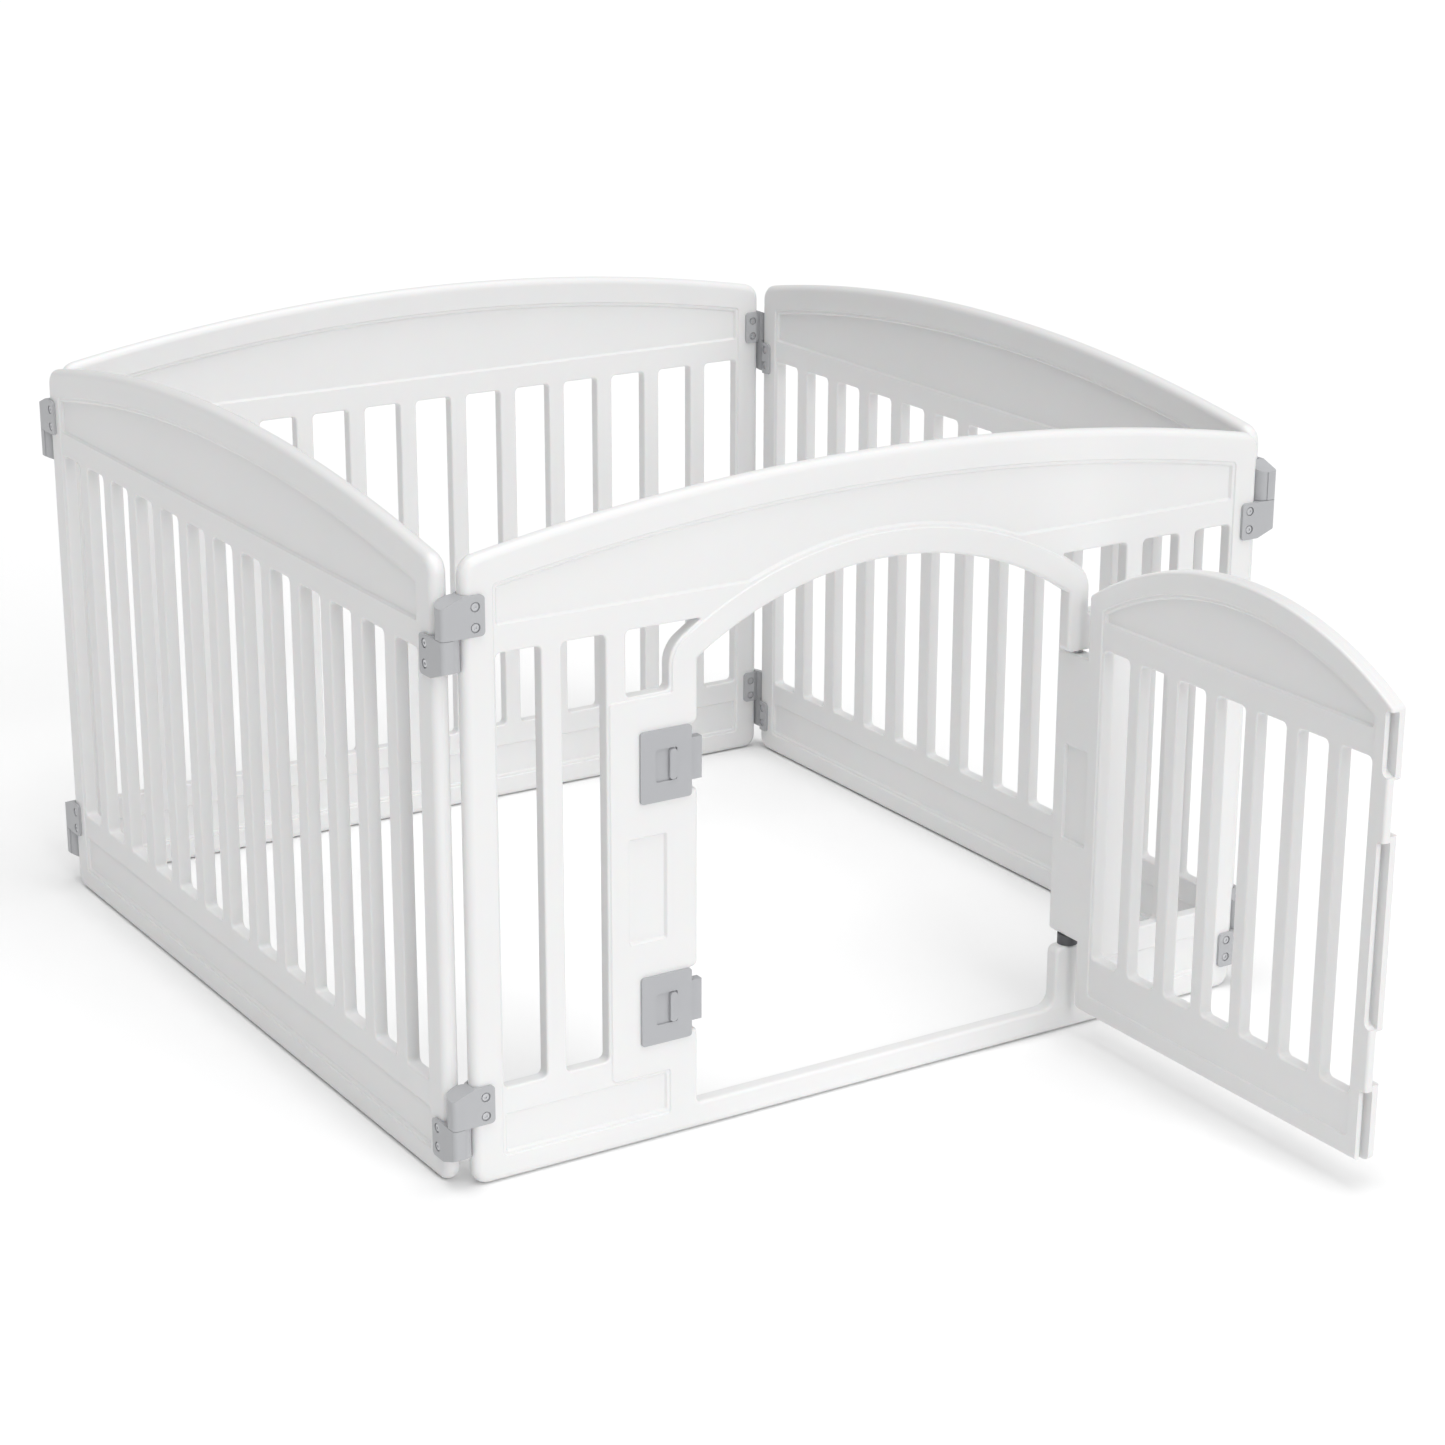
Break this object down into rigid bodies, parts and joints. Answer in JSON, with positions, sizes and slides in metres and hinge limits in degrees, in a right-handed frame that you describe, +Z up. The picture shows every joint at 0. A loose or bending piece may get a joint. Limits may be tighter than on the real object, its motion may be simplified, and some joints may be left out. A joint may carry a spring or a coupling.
{
  "type": "pet playpen",
  "caption": "Square folding pet pen of slatted plastic panels with arched tops, corner hinges and an arched swing door held by sliding locks.",
  "frame": {"origin": "middle of the front panel's underside, halfway through its thickness, on the floor", "axes": "+X to the right along the front panel seen from outside, +Y into the pen, +Z up"},
  "size_m": [0.9058, 1.3216, 0.611],
  "materials": {
    "panel": "satin white blow-moulded plastic",
    "hinge": "satin light grey moulded plastic",
    "lock": "satin light grey moulded plastic",
    "spacer": "matt dark grey moulded plastic",
    "pin": "plain steel rod",
    "screw": "satin zinc-plated steel"
  },
  "bodies": {
    "front": {"front_panel": "panel", "front_left_top_upper_leaf": "hinge", "front_right_top_lower_leaf": "hinge", "front_right_top_pin": "pin", "front_left_bottom_upper_leaf": "hinge", "front_right_bottom_lower_leaf": "hinge", "front_right_bottom_pin": "pin", "front_hinge_screws": "screw", "front_hinge_nuts": "screw", "door_upper_pivot_pin": "pin", "door_lower_pivot_pin": "pin", "door_lower_spacer": "spacer", "upper_lock_plate": "lock", "lower_lock_plate": "lock"},
    "left": {"left_panel": "panel", "back_left_top_upper_leaf": "hinge", "front_left_top_lower_leaf": "hinge", "front_left_top_pin": "pin", "back_left_bottom_upper_leaf": "hinge", "front_left_bottom_lower_leaf": "hinge", "front_left_bottom_pin": "pin", "left_hinge_screws": "screw", "left_hinge_nuts": "screw"},
    "right": {"right_panel": "panel", "front_right_top_upper_leaf": "hinge", "back_right_top_lower_leaf": "hinge", "back_right_top_pin": "pin", "front_right_bottom_upper_leaf": "hinge", "back_right_bottom_lower_leaf": "hinge", "back_right_bottom_pin": "pin", "right_hinge_screws": "screw", "right_hinge_nuts": "screw"},
    "back": {"back_panel": "panel", "back_right_top_upper_leaf": "hinge", "back_left_top_lower_leaf": "hinge", "back_left_top_pin": "pin", "back_right_bottom_upper_leaf": "hinge", "back_left_bottom_lower_leaf": "hinge", "back_left_bottom_pin": "pin", "back_hinge_screws": "screw", "back_hinge_nuts": "screw"},
    "door": {"door_panel": "panel"},
    "upper_bolt": {"upper_lock_bolt": "lock"},
    "lower_bolt": {"lower_lock_bolt": "lock"}
  },
  "joints": [
    {"name": "right_fold", "type": "hinge", "parent": "front", "child": "right", "pos_m": [0.4417, 0, 0], "axis": [0, 0, 1], "range_deg": [-25, 25]},
    {"name": "left_fold", "type": "hinge", "parent": "front", "child": "left", "pos_m": [-0.4417, 0, 0], "axis": [0, 0, 1], "range_deg": [-25, 25]},
    {"name": "back_fold", "type": "hinge", "parent": "right", "child": "back", "pos_m": [0.4417, 0.8834, 0], "axis": [0, 0, 1], "range_deg": [-25, 25]},
    {"name": "door_swing", "type": "hinge", "parent": "front", "child": "door", "pos_m": [0.226, 0, 0], "axis": [0, 0, 1], "range_deg": [-90, 45]},
    {"name": "upper_bolt_slide", "type": "slide", "parent": "front", "child": "upper_bolt", "axis": [1, 0, 0], "range_m": [-0.0125, 0]},
    {"name": "lower_bolt_slide", "type": "slide", "parent": "front", "child": "lower_bolt", "axis": [1, 0, 0], "range_m": [-0.0125, 0]}
  ],
  "couplings": [
    {"joint": "left_fold", "follows": "right_fold", "ratio": 1},
    {"joint": "back_fold", "follows": "right_fold", "ratio": -1}
  ]
}
